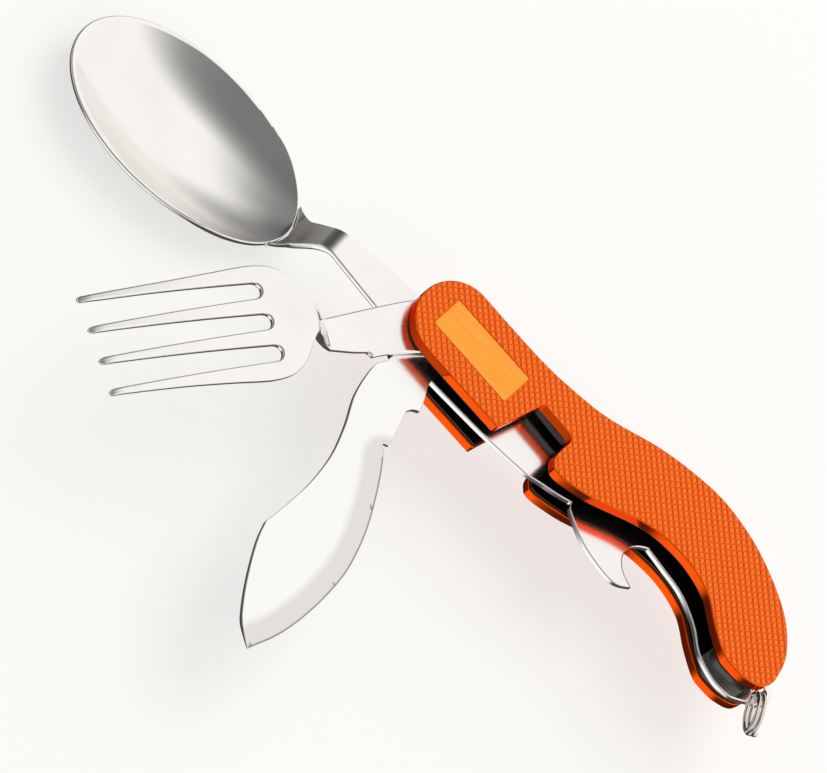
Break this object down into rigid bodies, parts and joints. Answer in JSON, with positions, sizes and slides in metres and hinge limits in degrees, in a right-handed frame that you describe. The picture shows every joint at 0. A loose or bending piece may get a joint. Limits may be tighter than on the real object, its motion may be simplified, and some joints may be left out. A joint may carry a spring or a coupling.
{
  "type": "folding camping cutlery",
  "caption": "Pocket folding cutlery with a fork, knife and spoon on one pivot, two knurled aluminium scales, a bottle opener on the centre plate and a key ring.",
  "frame": {"origin": "on the pivot axis of the three tools, at the flat rear face of the rear scale", "axes": "+X along the handle from the pivot to the key ring, +Y towards the spine, +Z towards the front scale"},
  "size_m": [0.1914, 0.0965, 0.0365],
  "materials": {
    "anodised_orange": "knurled and anodised orange",
    "polished_steel": "polished to a satin",
    "liner_steel": "smooth",
    "spring_steel": "smooth",
    "pin_steel": "turned",
    "ring_steel": "nickel plated wire"
  },
  "bodies": {
    "handle": {"rear_scale": "anodised_orange", "front_scale": "anodised_orange", "rear_liner": "liner_steel", "front_liner": "liner_steel", "opener_plate": "polished_steel", "spoon_spring": "spring_steel", "knife_spring": "spring_steel", "fork_spring": "spring_steel", "rear_spoon_washer": "pin_steel", "front_spoon_washer": "pin_steel", "knife_fork_shim": "pin_steel", "rear_scale_pivot_screw": "pin_steel", "rear_scale_grip_screw": "pin_steel", "front_scale_pivot_screw": "pin_steel", "front_scale_grip_screw": "pin_steel", "middle_rivet": "pin_steel", "tail_rivet": "pin_steel", "pivot_pin": "pin_steel"},
    "fork": {"fork": "polished_steel"},
    "knife": {"knife": "polished_steel"},
    "spoon": {"spoon": "polished_steel"},
    "key_ring": {"split_ring": "ring_steel"}
  },
  "joints": [
    {"name": "fork_fold", "type": "hinge", "parent": "handle", "child": "fork", "pos_m": [0, 0, 0.01255], "axis": [0, 0, 1], "range_deg": [-53, 125]},
    {"name": "knife_fold", "type": "hinge", "parent": "handle", "child": "knife", "pos_m": [0, 0, 0.0097], "axis": [0, 0, 1], "range_deg": [-100, 78.5]},
    {"name": "spoon_fold", "type": "hinge", "parent": "handle", "child": "spoon", "pos_m": [0, 0, 0.00546], "axis": [0, 0, 1], "range_deg": [0, 178]},
    {"name": "ring_swing", "type": "hinge", "parent": "handle", "child": "key_ring", "pos_m": [0.0943, 0.0037, 0.00782], "axis": [0, 0, 1], "range_deg": [-35, 95]}
  ]
}
